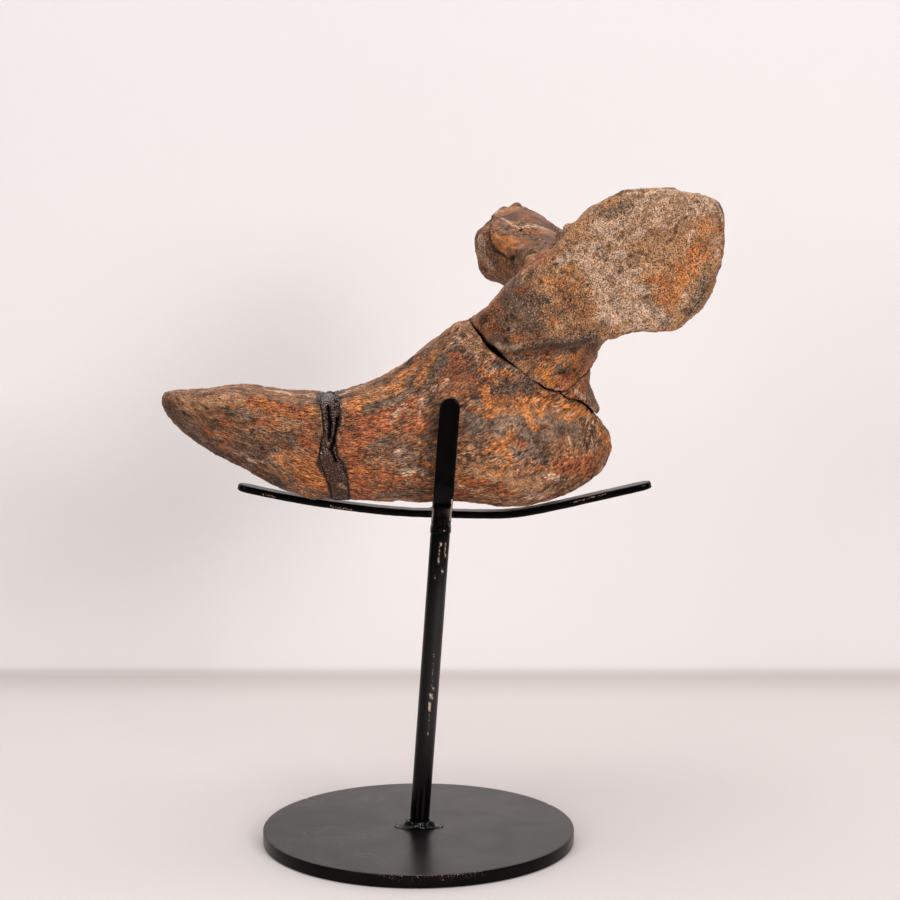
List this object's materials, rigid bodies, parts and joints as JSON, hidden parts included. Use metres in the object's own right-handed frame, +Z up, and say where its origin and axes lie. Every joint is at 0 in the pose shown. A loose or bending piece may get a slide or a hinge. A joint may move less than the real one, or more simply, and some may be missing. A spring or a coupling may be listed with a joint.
{
  "type": "fossil vertebra on a cradle stand",
  "caption": "Fossil vertebra, tapered at one end and flaring into broad processes at the other, cracked and glued, resting in a black welded cradle on a leaning post and round base.",
  "frame": {"origin": "centre of the underside of the base disc", "axes": "+X to the right along the long strip, +Y to the back along the cross strip, +Z up"},
  "size_m": [0.2197, 0.1532, 0.2657],
  "materials": {
    "fossil_bone": "weathered, finely grained",
    "black_filler": "rough, part glossy",
    "black_paint": "satin"
  },
  "bodies": {
    "root": {"spine_fragment": "fossil_bone", "body_fragment": "fossil_bone", "wedge_chip": "fossil_bone", "arch_fragment": "fossil_bone", "far_process_fragment": "fossil_bone", "repair_band": "black_filler", "cradle_long_strip": "black_paint", "cradle_cross_strip": "black_paint", "post": "black_paint", "base_disc": "black_paint", "foot_weld": "black_paint", "top_weld": "black_paint", "cross_weld_front": "black_paint", "cross_weld_rear": "black_paint"}
  },
  "joints": []
}
